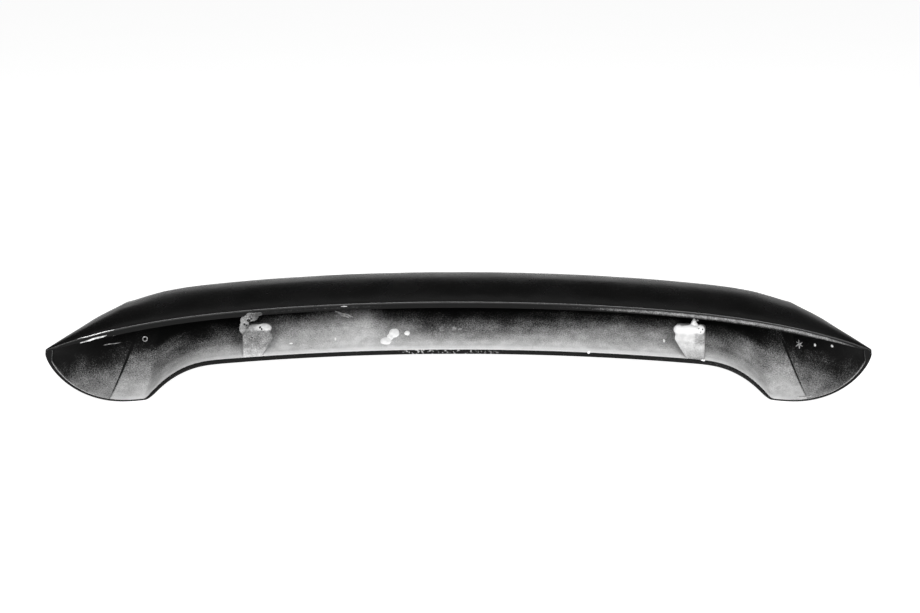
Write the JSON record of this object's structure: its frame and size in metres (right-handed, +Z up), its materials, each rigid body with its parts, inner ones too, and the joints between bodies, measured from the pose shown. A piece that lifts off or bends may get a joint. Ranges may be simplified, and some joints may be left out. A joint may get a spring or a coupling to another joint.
{
  "type": "car spoiler",
  "caption": "Hatchback roof spoiler, a hollow black moulded shell with a leg at each end, a turned-down upper flange and filler fixing blocks bonded inside its open car side.",
  "frame": {"origin": "middle of the upper rim, where the turned-down flange lies against the tailgate", "axes": "+X across the car to the right seen from the open side, +Y to the rear of the car, +Z up"},
  "size_m": [1.1622, 0.2161, 0.164],
  "materials": {
    "black_laminate": "gloss",
    "grey_filler": "matte",
    "white_filler": "matte"
  },
  "bodies": {
    "root": {"spoiler_shell": "black_laminate", "left_fixing_block": "grey_filler", "right_fixing_block": "white_filler"}
  },
  "joints": []
}
